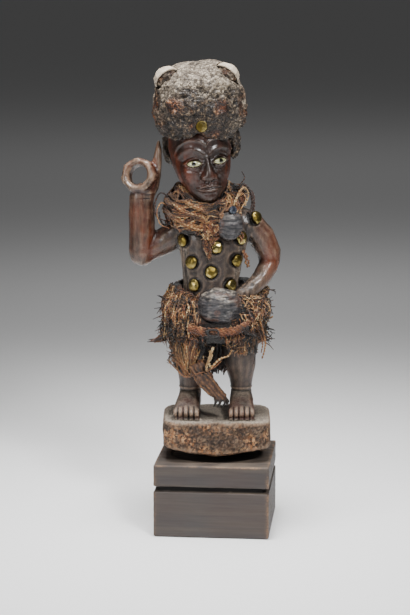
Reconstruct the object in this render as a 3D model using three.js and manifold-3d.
import * as THREE from 'three';
import { mergeVertices } from 'three/addons/utils/BufferGeometryUtils.js';
import Module from 'manifold-3d';

// A carved power figure on its socle, in millimetres, with +Z up and the front facing -Y.
// The origin is the middle of the socle's underside.

const wasm = await Module();
wasm.setup();

// Driving dimensions of the socle
const touchGap = 0.3;
const clothGap = 2.3;
const socleWide = 87;
const socleDeep = 89;
const socleEdge = 0.8;
const lowerBlockHigh = 35.3;
const grooveHigh = 3.6;
const grooveInset = 4.6;
const boardHigh = 16.7;
const boardTop = lowerBlockHigh + grooveHigh + boardHigh;
const recessWide = 70;
const recessDeep = 61;
const recessDepth = 1.5;
const recessFloor = boardTop - recessDepth;

// Driving dimensions of the figure, in its own frame, which is turned on the socle
const figureTurn = 5;
const baseWide = 80.6;
const baseDeep = 65;
const baseMiddle = new THREE.Vector2(0.5, -1);
const baseTop = 87;
const baseCorner = 12;
const baseEdge = 1.4;
const baseUnder = recessFloor + touchGap;
const baseFrontRise = 8.4;
const baseSideRise = 10.8;
const baseRest = 5;

const toeMiddle = { left: -22.8, right: 19.2 };
const heelMiddle = { left: -19.8, right: 19.2 };
const toesWide = 20.4;
const footReach = -30.5;
const heelReach = 11;
const soleHigh = 3.6;
const toeCount = 5;
const ankleHigh = 107;

const headMiddle = new THREE.Vector3(-12.5, -3, 285);
const headLean = 6;
const headNod = 3;
const headYaw = 12;

const chargeMiddle = new THREE.Vector3(-13, -2, 322);
const chargeHalf = new THREE.Vector3(35, 36.5, 31);
const shellRadius = 10;
const shellThick = 1.5;
const shellFlat = 0.86;
const shellRoom = 0.9;

const ringMiddle = new THREE.Vector3(-57.4, -7, 270);
const ringInner = 8;
const ringOuter = 14.4;
const ringDeep = 12;
const ringTall = 0.92;

const tackRadius = 5;
const tackHigh = 3;

// Colours, roughness and metalness of the materials
const finishes = {
  socleWood: { color: 0x4b423d, roughness: 0.6, metalness: 0 },
  carvedWood: { color: 0x4a2618, roughness: 0.35, metalness: 0 },
  resin: { color: 0x3d352c, roughness: 0.85, metalness: 0 },
  shell: { color: 0xd9d0bf, roughness: 0.45, metalness: 0 },
  glass: { color: 0xb9bd93, roughness: 0.1, metalness: 0 },
  brass: { color: 0xb59a4a, roughness: 0.3, metalness: 1 },
  darkStud: { color: 0x23262c, roughness: 0.4, metalness: 0.4 },
  raffia: { color: 0x6b4528, roughness: 0.95, metalness: 0 },
  hide: { color: 0x3a2416, roughness: 0.75, metalness: 0 },
};

const upward = new THREE.Vector3(0, 0, 1);

// Moves every vertex of a geometry by a rule
function shaped(geometry, move) {
  const place = geometry.attributes.position;
  const point = new THREE.Vector3();
  for (let i = 0; i < place.count; i += 1) {
    point.fromBufferAttribute(place, i);
    move(point);
    place.setXYZ(i, point.x, point.y, point.z);
  }
  return geometry;
}

// Turns a closed geometry into a solid that can be joined and cut
function solid(geometry) {
  const bare = geometry.clone();
  bare.deleteAttribute('normal');
  bare.deleteAttribute('uv');
  const merged = mergeVertices(bare, 1e-4);
  return new wasm.Manifold(new wasm.Mesh({
    numProp: 3,
    vertProperties: new Float32Array(merged.attributes.position.array),
    triVerts: new Uint32Array(merged.index.array),
  }));
}

// Turns a solid back into a geometry
function geometryOf(body) {
  const mesh = body.getMesh();
  const geometry = new THREE.BufferGeometry();
  geometry.setAttribute('position', new THREE.BufferAttribute(new Float32Array(mesh.vertProperties), 3));
  geometry.setIndex(new THREE.BufferAttribute(new Uint32Array(mesh.triVerts), 1));
  geometry.computeVertexNormals();
  return geometry;
}

function join(...bodies) {
  return bodies.flat().reduce((sum, body) => sum.add(body));
}

const roundPower = (value, power) => Math.sign(value) * Math.abs(value) ** power;

// Wraps a drum round a row of rings, each with a middle, two half axes and a squareness
function loft(rings, sides) {
  const rows = rings.length - 1;
  const drum = new THREE.CylinderGeometry(1, 1, 1, sides, rows);
  return shaped(drum, (point) => {
    const ring = rings[Math.round((point.y + 0.5) * rows)];
    const reach = Math.hypot(point.x, point.z);
    const angle = Math.atan2(point.z, point.x);
    const power = 2 / ring.square;
    point.copy(ring.middle);
    point.addScaledVector(ring.across, reach * roundPower(Math.cos(angle), power));
    point.addScaledVector(ring.along, reach * roundPower(Math.sin(angle), power));
  });
}

// Smooth values between a few key rows, each a list of numbers
function smooth(keys, count) {
  const rows = [];
  const width = keys[0].length;
  const curves = [];
  for (let column = 0; column < width; column += 3) {
    const points = keys.map((key) => new THREE.Vector3(key[column], key[column + 1] ?? 0, key[column + 2] ?? 0));
    curves.push(new THREE.CatmullRomCurve3(points, false, 'catmullrom', 0.5));
  }
  for (let i = 0; i <= count; i += 1) {
    rows.push(curves.flatMap((curve) => curve.getPoint(i / count).toArray()));
  }
  return rows;
}

// A body of level sections; each key is x, y, z, half width, half depth, squareness
function stack(keys, sides, count, grow = 0) {
  const rings = smooth(keys, count).map(([x, y, z, wide, deep, square]) => ({
    middle: new THREE.Vector3(x, y, z),
    across: new THREE.Vector3(wide + grow, 0, 0),
    along: new THREE.Vector3(0, -(deep + grow), 0),
    square,
  }));
  rings[0].middle.z -= grow;
  rings.at(-1).middle.z += grow;
  return loft(rings, sides);
}

// A limb along a path; each key is x, y, z, half width, half depth, squareness
function limb(keys, sides, count, grow = 0, front = new THREE.Vector3(0, -1, 0)) {
  const rows = smooth(keys, count);
  const middles = rows.map(([x, y, z]) => new THREE.Vector3(x, y, z));
  const rings = rows.map(([, , , wide, deep, square], i) => {
    const heading = middles[Math.min(i + 1, count)].clone().sub(middles[Math.max(i - 1, 0)]).normalize();
    const side = heading.clone().cross(front).normalize();
    const facing = side.clone().cross(heading);
    return {
      middle: middles[i].clone(),
      across: side.multiplyScalar(wide + grow),
      along: facing.multiplyScalar(deep + grow),
      square,
      heading,
    };
  });
  rings[0].middle.addScaledVector(rings[0].heading, -grow);
  rings.at(-1).middle.addScaledVector(rings.at(-1).heading, grow);
  return loft(rings, sides);
}

// Ripples a standing body in and out round its own middle
function rippled(geometry, depth, waves) {
  geometry.computeBoundingBox();
  const middle = geometry.boundingBox.getCenter(new THREE.Vector3());
  return shaped(geometry, (point) => {
    const angle = Math.atan2(point.y - middle.y, point.x - middle.x);
    const swell = 1 + depth * Math.sin(waves * angle + 0.05 * point.z);
    point.x = middle.x + (point.x - middle.x) * swell;
    point.y = middle.y + (point.y - middle.y) * swell;
  });
}

function ball(x, y, z, wide, deep, high, around = 12, down = 8) {
  return new THREE.SphereGeometry(1, around, down)
    .rotateX(Math.PI / 2)
    .scale(wide, deep, high)
    .translate(x, y, z);
}

const degrees = THREE.MathUtils.degToRad;

// Socle: a lower block with a recessed neck, and a top board with an oval recess

function bevelledBlock(wide, deep, low, high) {
  const half = { x: wide / 2 - socleEdge, y: deep / 2 - socleEdge };
  const outline = new THREE.Shape();
  outline.moveTo(-half.x, -half.y);
  outline.lineTo(half.x, -half.y);
  outline.lineTo(half.x, half.y);
  outline.lineTo(-half.x, half.y);
  outline.closePath();
  const block = new THREE.ExtrudeGeometry(outline, {
    depth: high - low - 2 * socleEdge,
    bevelSize: socleEdge,
    bevelThickness: socleEdge,
    bevelSegments: 2,
  });
  return solid(block.translate(0, 0, low + socleEdge));
}

function socleLowerBlock() {
  const neck = new THREE.BoxGeometry(
    socleWide - 2 * grooveInset,
    socleDeep - 2 * grooveInset,
    grooveHigh,
  ).translate(0, 0, lowerBlockHigh + grooveHigh / 2 - touchGap);
  return join(bevelledBlock(socleWide, socleDeep, 0, lowerBlockHigh), solid(neck));
}

function socleTopBoard() {
  const board = bevelledBlock(socleWide, socleDeep, lowerBlockHigh + grooveHigh, boardTop);
  const recess = new THREE.CylinderGeometry(1, 1, 2 * recessDepth, 28)
    .rotateX(Math.PI / 2)
    .scale(recessWide / 2, recessDeep / 2, 1)
    .rotateZ(degrees(figureTurn))
    .translate(0, 0, boardTop);
  return board.subtract(solid(recess));
}

// Base block that the figure stands on, with a rounded underside

function figureBase() {
  const half = { x: baseWide / 2 - baseEdge, y: baseDeep / 2 - baseEdge };
  const r = baseCorner - baseEdge;
  const outline = new THREE.Shape();
  outline.moveTo(-half.x + r, -half.y);
  outline.lineTo(half.x - r, -half.y);
  outline.absarc(half.x - r, -half.y + r, r, -Math.PI / 2, 0);
  outline.absarc(half.x - r, half.y - r, r, 0, Math.PI / 2);
  outline.absarc(-half.x + r, half.y - r, r, Math.PI / 2, Math.PI);
  outline.absarc(-half.x + r, -half.y + r, r, Math.PI, 1.5 * Math.PI);
  const block = new THREE.ExtrudeGeometry(outline, {
    depth: baseTop - baseUnder - 2 * baseEdge,
    bevelSize: baseEdge,
    bevelThickness: baseEdge,
    bevelSegments: 1,
    curveSegments: 4,
  }).translate(baseMiddle.x, baseMiddle.y, baseUnder + baseEdge);
  const high = baseTop - baseUnder + baseFrontRise;
  const tip = baseRest / (baseDeep / 2);
  const sideways = (baseWide / 2) / (baseSideRise / baseFrontRise + tip);
  const hull = new THREE.CylinderGeometry(tip + high / baseFrontRise, tip, high, 20)
    .rotateX(Math.PI / 2)
    .scale(sideways, baseDeep / 2, 1)
    .translate(baseMiddle.x, baseMiddle.y, baseUnder + high / 2);
  return solid(block).intersect(solid(hull));
}

// Feet and legs; side is -1 on the viewer's left and 1 on the right

function foot(side) {
  const x = side < 0 ? toeMiddle.left : toeMiddle.right;
  const heel = side < 0 ? heelMiddle.left : heelMiddle.right;
  const between = (part) => THREE.MathUtils.lerp(heel, x, part);
  const instep = limb([
    [heel, heelReach, 96, 6.5, 7, 2.4],
    [between(0.1), 5, 97.5, 8.6, 9.6, 2.4],
    [between(0.3), -4, 97.5, 9, 10, 2.4],
    [between(0.6), -14, 95.5, 9.6, 6.6, 2.8],
    [x, -23, 93.6, 10, 3.6, 3],
    [x, footReach + 2, 92.9, 9.8, 2.3, 3],
  ], 10, 4, 0, upward);
  const soleLong = heelReach - footReach - 6;
  const sole = new THREE.BoxGeometry(toesWide - 2.4, soleLong, soleHigh + 1.5)
    .translate(between(0.7), (heelReach + footReach) / 2 + 1.6, baseTop + soleHigh / 2 - 0.25);
  const toes = [];
  const toePitch = toesWide / toeCount;
  for (let i = 0; i < toeCount; i += 1) {
    const fromBig = side > 0 ? i : toeCount - 1 - i;
    const radius = fromBig === 0 ? 2.7 : 2.25;
    const reach = footReach - 1.2 + 0.35 * fromBig;
    const toe = new THREE.CapsuleGeometry(radius, 9, 1, 6)
      .translate(x + (i - (toeCount - 1) / 2) * toePitch, reach + 7, baseTop + soleHigh + 2.4);
    toes.push(solid(toe));
  }
  return join(solid(instep), solid(sole), toes);
}

function legKeys(side) {
  const at = (x) => side * x - 0.3 * (1 - side);
  return [
    [at(19.2), 1.5, ankleHigh - 8, 8, 8.6, 2],
    [at(19.2), 1.5, ankleHigh, 8.4, 9, 2],
    [at(18.9), 1.2, 113, 9, 9.8, 2],
    [at(18.4), 0.5, 124, 12, 12.4, 2],
    [at(17.2), -0.2, 137, 13.2, 14, 2],
    [at(14.8), 0, 150, 13.6, 15, 2],
    [at(12), 0, 160, 12, 14, 2],
  ];
}

const leg = (side, grow = 0, detail = 1) => solid(stack(legKeys(side), Math.round(12 * detail), Math.ceil(6 * detail), grow));

// Torso, from the hips to the root of the neck

const torsoKeys = [
  [0, 0, 143, 20, 12, 2.2],
  [-0.6, -0.5, 150, 26, 17.5, 2.2],
  [-1.6, -1, 162, 25.5, 19, 2.2],
  [-3.2, -2, 176, 21, 19.5, 2.3],
  [-3.8, -2, 188, 20.8, 20, 2.4],
  [-3.4, -1, 204, 23, 19.5, 2.4],
  [-2.6, 0, 222, 27, 19, 2.4],
  [-2, 0.6, 234, 29.5, 17, 2.3],
  [-2.4, 0.8, 243, 25, 14, 2.1],
  [-4, 0.6, 250, 14, 11.5, 2],
];

const torso = (grow = 0, detail = 1) => solid(stack(torsoKeys, Math.round(16 * detail), Math.ceil(9 * detail), grow));

// Depth of the front of a stack of sections at a place given by x and z
function frontOf(keys, x, z) {
  const rows = smooth(keys, 60);
  const row = rows.find((key) => key[2] >= z) ?? rows.at(-1);
  const across = Math.min(Math.abs((x - row[0]) / row[3]), 0.985);
  return row[1] - row[4] * (1 - across ** row[5]) ** (1 / row[5]);
}

// Point and outward direction on the torso's front
function chestSpot(x, z) {
  const step = 1.5;
  const slopeX = (frontOf(torsoKeys, x + step, z) - frontOf(torsoKeys, x - step, z)) / (2 * step);
  const slopeZ = (frontOf(torsoKeys, x, z + step) - frontOf(torsoKeys, x, z - step)) / (2 * step);
  const out = new THREE.Vector3(slopeX, -1, slopeZ).normalize();
  return { point: new THREE.Vector3(x, frontOf(torsoKeys, x, z), z), out };
}

const neckKeys = [
  [-4, 1, 240, 12.5, 12, 2],
  [-7, 0, 252, 11.2, 11.5, 2],
  [-10.5, -1, 268, 11.5, 12, 2],
];

const neck = (grow = 0, detail = 1) => solid(stack(neckKeys, Math.round(12 * detail), 3, grow));

// Raised right arm: upper arm, forearm, and a hand whose fingers close in a ring

function raisedArm(grow = 0, detail = 1) {
  const upper = limb([
    [-14, 1, 235, 11, 11, 2],
    [-26, 1, 228, 11.2, 11.5, 2],
    [-40, 2, 219, 10.4, 11, 2],
    [-52, 2, 213.4, 9.8, 10.4, 2],
    [-59, 1, 211.6, 7.8, 8.6, 2],
  ], Math.round(12 * detail), 4, grow);
  const fore = limb([
    [-57.2, 1.5, 202.2, 5, 6, 2],
    [-56.6, 1, 205.4, 8.6, 8.8, 2],
    [-56.4, 0, 212, 10, 10.6, 2],
    [-56.2, -2, 228, 10, 10.6, 2],
    [-56.1, -4, 244, 9.8, 9.8, 2],
    [-56.2, -5, 254, 9.2, 8.8, 2.2],
    [-55, -6, 262, 7.6, 7.4, 2.4],
  ], Math.round(12 * detail), 6, grow);
  return join(solid(upper), solid(fore));
}

function ringHand() {
  const side = (ringOuter - ringInner) / 2;
  const middle = (ringOuter + ringInner) / 2;
  const profile = [];
  const corners = 6;
  for (let i = 0; i <= corners; i += 1) {
    const angle = (2 * Math.PI * i) / corners + Math.PI / corners;
    profile.push(new THREE.Vector2(
      middle + side * roundPower(Math.cos(angle), 0.7),
      (ringDeep / 2) * roundPower(Math.sin(angle), 0.7),
    ));
  }
  const ring = new THREE.LatheGeometry(profile, 18)
    .scale(1, 1, ringTall)
    .rotateX(degrees(-15))
    .rotateZ(degrees(-26))
    .translate(ringMiddle.x, ringMiddle.y, ringMiddle.z);
  const finger = limb([
    [-50, -5.4, 257, 5, 5.6, 2.6],
    [-47.4, -5.8, 263, 4.8, 6, 2.8],
    [-44.9, -5.4, 274, 4.2, 5.6, 2.8],
    [-43.6, -4.6, 287, 3, 4.4, 2.6],
    [-43.2, -4, 296.6, 0.9, 1.6, 2],
  ], 8, 5);
  const palm = limb([
    [-55.8, -4.8, 250, 9, 8.4, 2.2],
    [-54, -6, 257, 8.4, 7.6, 2.4],
    [-51.6, -6.4, 262, 6, 6.6, 2.6],
  ], 10, 3);
  return join(solid(ring), solid(finger), solid(palm));
}

// Left arm with the hand on the hip

function restingArm(grow = 0, detail = 1) {
  const upper = limb([
    [15, 1, 238, 9, 11, 2],
    [25, 1, 234, 10, 11.5, 2],
    [34, 3, 223, 10.4, 11, 2],
    [40.2, 5, 210, 9.4, 10, 2],
    [40.4, 5, 202, 8, 9, 2],
  ], Math.round(12 * detail), 4, grow);
  const fore = limb([
    [41.4, 5, 207, 7.4, 8.6, 2],
    [38.6, 2, 199, 7.8, 8.4, 2],
    [32.4, -5, 190, 6.8, 7.2, 2],
    [25, -11, 183.6, 6.4, 5.6, 2.2],
    [17, -15, 178.5, 7.2, 4, 2.4],
    [10, -17, 176, 4.4, 3, 2.4],
  ], Math.round(12 * detail), 5, grow);
  return join(solid(upper), solid(fore));
}

// Head, built round its own middle and then leaned, nodded and turned

const headPose = new THREE.Matrix4()
  .makeTranslation(headMiddle.x, headMiddle.y, headMiddle.z)
  .multiply(new THREE.Matrix4().makeRotationZ(degrees(headYaw)))
  .multiply(new THREE.Matrix4().makeRotationY(degrees(-headLean)))
  .multiply(new THREE.Matrix4().makeRotationX(degrees(headNod)));

const inHead = (geometry) => solid(geometry.applyMatrix4(headPose));

const skullKeys = [
  [0, -17.5, -32.6, 5.2, 4.6, 2],
  [0, -15.2, -30, 9.6, 9.8, 2.1],
  [0, -11.6, -24, 15, 15.4, 2.2],
  [0, -7, -15, 19.4, 20.6, 2.2],
  [0, -3, -4, 22.2, 25, 2.2],
  [0, 0, 7, 23.2, 27.4, 2.2],
  [0, 0, 17, 22.4, 27, 2.2],
  [0, 0, 25, 17, 21, 2.1],
  [0, 0, 30, 8, 10, 2],
];

const skull = (grow = 0, detail = 1) => inHead(stack(skullKeys, Math.round(16 * detail), Math.ceil(8 * detail), grow));

const eyeWide = 5.9;
const eyeHigh = 2.9;
const eyeLevel = -1.4;
const eyeApart = 9.6;
const lidThick = 1.2;

// An almond form on the face, used for the eye, its socket and the lids round it
function almond(side, grow, proud) {
  const x = side * eyeApart;
  const y = frontOf(skullKeys, x, eyeLevel);
  return inHead(ball(0, 0, 0, eyeWide + grow, 2 + proud, eyeHigh + grow, 10, 5)
    .rotateZ(degrees(side * 20))
    .translate(x, y + 0.6, eyeLevel));
}

const eyeBall = (side) => almond(side, 0, 0.4);
const eyeSocket = (side) => almond(side, touchGap, 0.4 + touchGap);
const eyeLids = (side) => almond(side, lidThick, 0.2);

// A raised line on the face through places given by x and z
function ridge(places, thick, rows) {
  return inHead(limb(
    places.map(([x, z], i) => {
      const end = i === 0 || i === places.length - 1;
      return [x, frontOf(skullKeys, x, z) + 0.5, z, end ? thick / 2 : thick, end ? thick / 2 : thick, 2];
    }),
    5,
    rows,
    0,
    upward,
  ));
}

function faceForms() {
  const nose = inHead(limb([
    [0, -26.6, 3, 2.2, 2.2, 2],
    [0, -29, -5, 2.8, 2.8, 2],
    [0, -31, -11, 3.6, 3.2, 2],
    [0, -29.4, -15, 3.2, 2, 2],
  ], 8, 4));
  const wings = [-1, 1].map((side) => inHead(ball(side * 4.2, -28.4, -12, 2.8, 3, 2.6, 7, 4)));
  const mouth = [
    ridge([[-8, -20.6], [-3.6, -19.2], [0, -19.8], [3.6, -19.2], [8, -20.6]], 1.7, 5),
    ridge([[-7, -21.2], [-3.4, -23], [0, -23.4], [3.4, -23], [7, -21.2]], 1.9, 5),
  ];
  return join(nose, wings, mouth);
}

// The whole carving, and a slightly larger plain copy that cuts what lies on it

function carvedFigure() {
  const sides = [-1, 1];
  const body = join(
    figureBase(),
    sides.flatMap((side) => [foot(side), leg(side)]),
    torso(),
    neck(),
    skull(),
    faceForms(),
    sides.map(eyeLids),
    raisedArm(),
    ringHand(),
    restingArm(),
  );
  return sides.reduce((rest, side) => rest.subtract(eyeSocket(side)), body);
}

const bodyCutter = (grow, detail) => join(
  torso(grow, detail),
  neck(grow, detail),
  skull(grow, detail),
  leg(-1, grow, detail),
  leg(1, grow, detail),
  raisedArm(grow, detail),
  restingArm(grow, detail),
);

const clothCutter = bodyCutter(clothGap, 2 / 3);

// Resin charge on the head, with a low saddle between two corners

function headCharge() {
  const mass = shaped(new THREE.SphereGeometry(1, 18, 11).rotateX(Math.PI / 2), (point) => {
    const { x, y, z } = point;
    const square = 2.7;
    const size = (Math.abs(x) ** square + Math.abs(y) ** square + Math.abs(z) ** square) ** (1 / square);
    const lump = 1 + 0.018 * Math.sin(5 * x + 2) * Math.cos(4 * y) + 0.015 * Math.sin(6 * z + 3 * x);
    point.multiplyScalar(lump / size);
    const taper = 1 - (point.z < 0 ? 0.13 : 0.1) * point.z * point.z;
    const hump = (middle, width) => Math.exp(-(((point.x - middle) / width) ** 2));
    const lift = Math.max(point.z, 0) * (5 * hump(0.4, 0.34) + 1.8 * hump(-0.66, 0.16));
    point.set(point.x * taper * chargeHalf.x, point.y * taper * chargeHalf.y, point.z * chargeHalf.z + lift);
  });
  const lobes = [
    ball(-34.6, 9, 291, 6.2, 8, 15, 8, 5),
    ball(12.6, 9, 293, 6.4, 8, 14, 8, 5),
    ball(-12, 21, 294, 20, 10, 15, 10, 6),
  ].map(solid);
  const body = join(solid(mass.translate(chargeMiddle.x, chargeMiddle.y, chargeMiddle.z)), lobes);
  const cuts = [skull(touchGap), neck(touchGap), shellPocket(-1), shellPocket(1), tackHead(foreheadSpot, touchGap)];
  return cuts.reduce((rest, pocket) => rest.subtract(pocket), body);
}

// Shells set in the two upper corners of the charge, hollow side down and to the front

const shellSpot = (side) => new THREE.Vector3(side < 0 ? -36.6 : 7.2, -15, side < 0 ? 342.4 : 345);

function placeShell(geometry, side) {
  const spot = shellSpot(side);
  return geometry
    .rotateX(degrees(-30))
    .rotateY(degrees(side * 38))
    .translate(spot.x, spot.y, spot.z);
}

function crownShell(side) {
  const outer = shellRadius;
  const inner = shellRadius - shellThick;
  const open = degrees(86);
  const turns = 3;
  const profile = [];
  for (let i = 0; i <= turns; i += 1) {
    const angle = (open * i) / turns;
    profile.push(new THREE.Vector2(inner * Math.sin(angle), inner * Math.cos(angle)));
  }
  for (let i = turns; i >= 0; i -= 1) {
    const angle = (open * i) / turns;
    profile.push(new THREE.Vector2(outer * Math.sin(angle), outer * Math.cos(angle)));
  }
  const bowl = new THREE.LatheGeometry(profile, 12).rotateX(Math.PI / 2).scale(1, 1, shellFlat);
  return solid(placeShell(bowl, side));
}

// The round pocket that the shell covers
function shellPocket(side) {
  const radius = shellRadius + shellRoom;
  return solid(placeShell(ball(0, 0, 0, radius, radius, shellFlat * radius, 12, 6), side));
}

// Domed tack heads

function tackHead(spot, grow = 0) {
  const radius = (spot.radius ?? tackRadius) + grow;
  const foot = touchGap - (spot.sunk ?? 0) - grow;
  const turns = 2;
  const profile = [new THREE.Vector2(0, foot)];
  for (let i = 0; i <= turns; i += 1) {
    const angle = (Math.PI * i) / (2 * turns);
    const reach = i === turns ? 0 : radius * Math.cos(angle);
    profile.push(new THREE.Vector2(reach, 0.5 + (tackHigh + grow) * Math.sin(angle)));
  }
  const turn = new THREE.Quaternion().setFromUnitVectors(upright, spot.out);
  const dome = new THREE.LatheGeometry(profile, 10)
    .applyQuaternion(turn)
    .translate(spot.point.x, spot.point.y, spot.point.z);
  return solid(dome);
}

const upright = new THREE.Vector3(0, 1, 0);

const spotAt = (x, y, z, outX, outY, outZ, radius, sunk) => ({
  point: new THREE.Vector3(x, y, z),
  out: new THREE.Vector3(outX, outY, outZ).normalize(),
  radius,
  sunk,
});

const foreheadSpot = spotAt(-10.8, -36.4, 309.4, 0.05, -1, -0.1, 4.4, 1.5);
const studSpot = spotAt(11, -23, 246, 0.5, -0.85, 0.12, 3.1, 1.5);

const bodyTacks = {
  tack_right_breast: chestSpot(-24.6, 222),
  tack_left_breast: chestSpot(18.2, 224),
  tack_breastbone: chestSpot(-0.3, 217.6),
  tack_right_rib: chestSpot(-18.2, 206),
  tack_left_rib: chestSpot(14.8, 207.4),
  tack_midriff: chestSpot(-3.8, 199),
  tack_right_waist: chestSpot(-16, 189),
  tack_left_waist: chestSpot(10.4, 189),
  tack_left_shoulder: spotAt(29.4, -9.2, 238.6, 0.6, -0.74, 0.3),
};

// Cuts room for the tack heads out of what lies round them
function clearOfTacks(body) {
  return Object.values(bodyTacks).reduce((rest, { point, out }) => {
    const size = tackRadius + 1.3;
    const middle = point.clone().addScaledVector(out, 1);
    return rest.subtract(solid(ball(middle.x, middle.y, middle.z, size, size, size, 7, 5)));
  }, body);
}

// Cloth round the neck, with a torn end on the chest and a flap at the side

function neckCloth() {
  const wrap = rippled(stack([
    [-6, -1.5, 224, 22, 19, 2.2],
    [-7.4, -2, 231, 28.5, 24, 2.2],
    [-8.6, -2, 241, 30, 25.6, 2.2],
    [-9, -2, 252, 28.5, 24, 2.1],
    [-9.4, -1, 261, 22.6, 20, 2],
    [-10, 0, 268, 15, 14.4, 2],
  ], 16, 5), 0.03, 7);
  const shred = limb([
    [-6, -20, 232, 6.5, 2.6, 2.2],
    [-4.6, -21.4, 222, 5.6, 2, 2.2],
    [-5.4, -21.6, 213, 3.8, 1.8, 2.2],
    [-4.8, -21.4, 206.5, 1.6, 1.2, 2],
  ], 6, 4);
  const flap = ball(18, 3, 253, 4.4, 8, 9.6, 7, 5);
  const body = join(solid(wrap), solid(shred), solid(flap)).subtract(clothCutter);
  return clearOfTacks(body)
    .subtract(solid(chargeLump('shoulder', touchGap)))
    .subtract(tackHead(studSpot, touchGap));
}

// Lumps of dark resin on the shoulder and the belly

function chargeLump(place, grow = 0) {
  if (place === 'shoulder') {
    return ball(10, -21, 234.5, 8.4 + grow, 6.5 + grow, 9.4 + grow, 10, 7);
  }
  return shaped(ball(0, 0, 0, 1, 1, 1, 12, 8), (point) => {
    const square = 2.6;
    const { x, y, z } = point;
    const size = (Math.abs(x) ** square + Math.abs(y) ** square + Math.abs(z) ** square) ** (1 / square);
    point.multiplyScalar(1 / size);
    point.set(2.2 + point.x * (14.8 + grow), -26.5 + point.y * (11.5 + grow), 174 + point.z * (12 + grow));
  });
}

const shoulderCharge = () => clearOfTacks(solid(chargeLump('shoulder')).subtract(clothCutter))
  .subtract(tackHead(studSpot, touchGap));

// Raffia skirt: a thick wrap round the hips, a long flap over one thigh and a short one over the other

function skirt() {
  const wrap = rippled(stack([
    [-1.4, -1.5, 146, 31, 24, 2.1],
    [-3.4, -2, 150, 38, 28, 2.1],
    [-2.4, -2, 157, 37.6, 30, 2.1],
    [0, -2, 167, 40.6, 31, 2.1],
    [-0.6, -2, 178, 36.6, 28.4, 2.1],
    [0.6, -1.6, 186, 32.5, 23.4, 2.1],
    [0.4, -1.4, 188, 28, 20.4, 2],
  ], 18, 6), 0.035, 8);
  shaped(wrap, (point) => {
    const top = THREE.MathUtils.smoothstep(point.z, 165, 188);
    point.z += top * (0.22 * point.y + 0.8);
  });
  const longFlap = stack([
    [-24, -13, 117, 1.6, 3, 2],
    [-22.5, -12, 123, 8, 6, 2.1],
    [-21, -9.5, 131, 13.2, 11, 2.2],
    [-20.5, -6.5, 141, 15.6, 15.6, 2.2],
    [-18, -4, 151, 16, 19, 2.2],
  ], 10, 4);
  const shortFlap = stack([
    [21, -9, 133, 4, 5, 2],
    [19.6, -7, 138, 11.6, 12, 2.2],
    [18.4, -5, 145, 15, 17, 2.2],
    [17, -3, 152, 16, 20, 2.2],
  ], 10, 3);
  const looseEnd = limb([
    [-38, -6, 150, 5, 4, 2],
    [-43, -6, 145.4, 2.6, 2.4, 2],
    [-48, -6, 143.2, 1.2, 1.2, 2],
    [-54, -6, 142.4, 0.6, 0.6, 2],
  ], 5, 3);
  const tuft = ball(36, -3, 184, 4.6, 5, 6, 7, 4);
  const hook = ball(33.6, -8, 149, 4, 4, 6.6, 7, 4);
  const cord = limb([
    [29, -15, 152, 2, 2, 2],
    [30.4, -18.6, 140, 1.3, 1.3, 2],
    [28, -18, 128, 1, 1, 2],
  ], 5, 3);
  const pieces = [wrap, longFlap, shortFlap, looseEnd, tuft, hook, cord].map(solid);
  return clearOfTacks(join(pieces).subtract(clothCutter))
    .subtract(solid(chargeLump('belly', touchGap)))
    .subtract(waistCord(touchGap));
}

function waistCord(grow = 0) {
  return solid(limb([
    [-21, -28.6, 158, 2.2, 2.6, 2.2],
    [-12, -32.6, 156.6, 2.6, 4, 2.4],
    [1, -34, 156, 2.8, 4.4, 2.4],
    [14, -32.6, 157, 2.6, 4, 2.4],
    [24, -27.6, 161, 2.2, 2.8, 2.2],
  ], 8, 6, grow)).subtract(solid(chargeLump('belly', touchGap)));
}

// Dried animal leg that hangs from the skirt and ends in a clawed paw

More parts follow.
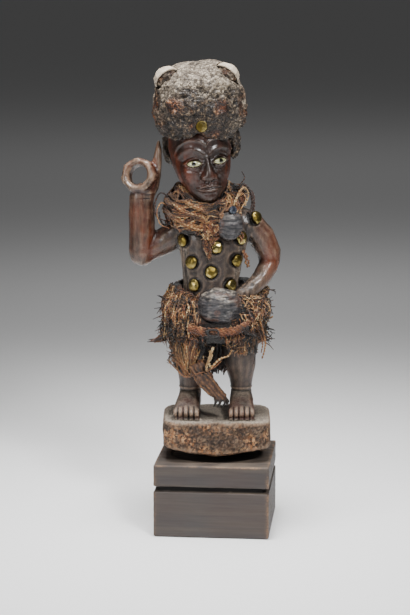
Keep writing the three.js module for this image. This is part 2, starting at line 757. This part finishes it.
function driedPaw() {
  const shank = limb([
    [-14.5, -21.5, 130, 7, 1.8, 2.4],
    [-10.6, -24, 121, 7, 2.2, 2.4],
    [-4.8, -25, 113, 6, 2.6, 2.4],
    [1, -25.4, 107.6, 4.8, 3.2, 2.2],
    [4.2, -25.6, 104, 4.6, 3.6, 2],
  ], 7, 4);
  const pad = ball(3.4, -25.8, 104.4, 5.2, 4, 3.4, 7, 4);
  const claws = clawSpots.map(([x, y, bend]) => solid(limb([
    [x, y, 104.6, 1.5, 1.5, 2],
    [x + bend, y - 1.4, 101.6, 1.3, 1.3, 2],
    [x + 0.8 * bend - 0.6, y - 1.2, 99, 0.9, 0.9, 2],
    [x + 0.2 * bend - 1.6, y + 0.2, 97, 0.35, 0.35, 2],
  ], 4, 3)));
  return join(solid(shank), solid(pad), claws).subtract(clothCutter).subtract(skirtSolid);
}

const clawSpots = [[-0.6, -26, 0.4], [2, -27.6, 1], [4.8, -27.2, 2], [6.6, -25.2, 2.4]];

// The scene graph

function finish(name) {
  return new THREE.MeshStandardMaterial(finishes[name]);
}

function piece(name, body, finishName) {
  const mesh = new THREE.Mesh(geometryOf(body), finish(finishName));
  mesh.name = name;
  return mesh;
}

const skirtSolid = skirt();

const socle = new THREE.Group();
socle.add(piece('plinth_lower_block', socleLowerBlock(), 'socleWood'));
socle.add(piece('plinth_top_board', socleTopBoard(), 'socleWood'));

const figure = new THREE.Group();
figure.rotation.z = degrees(figureTurn);
figure.add(piece('carved_figure', carvedFigure(), 'carvedWood'));
figure.add(piece('head_charge', headCharge(), 'resin'));
figure.add(piece('crown_shell_right', crownShell(-1), 'shell'));
figure.add(piece('crown_shell_left', crownShell(1), 'shell'));
figure.add(piece('eye_glass_right', eyeBall(-1), 'glass'));
figure.add(piece('eye_glass_left', eyeBall(1), 'glass'));
for (const [name, spot] of Object.entries(bodyTacks)) {
  figure.add(piece(name, tackHead(spot), 'brass'));
}
figure.add(piece('tack_forehead', tackHead(foreheadSpot), 'brass'));
figure.add(piece('shoulder_stud', tackHead(studSpot), 'darkStud'));
figure.add(piece('neck_cloth', neckCloth(), 'raffia'));
figure.add(piece('shoulder_charge', shoulderCharge(), 'resin'));
figure.add(piece('belly_charge', solid(chargeLump('belly')).subtract(clothCutter), 'resin'));
figure.add(piece('raffia_skirt', skirtSolid, 'raffia'));
figure.add(piece('waist_cord', waistCord(), 'raffia'));
figure.add(piece('dried_paw', driedPaw(), 'hide'));

const part = new THREE.Group();
part.add(socle, figure);

export default part;
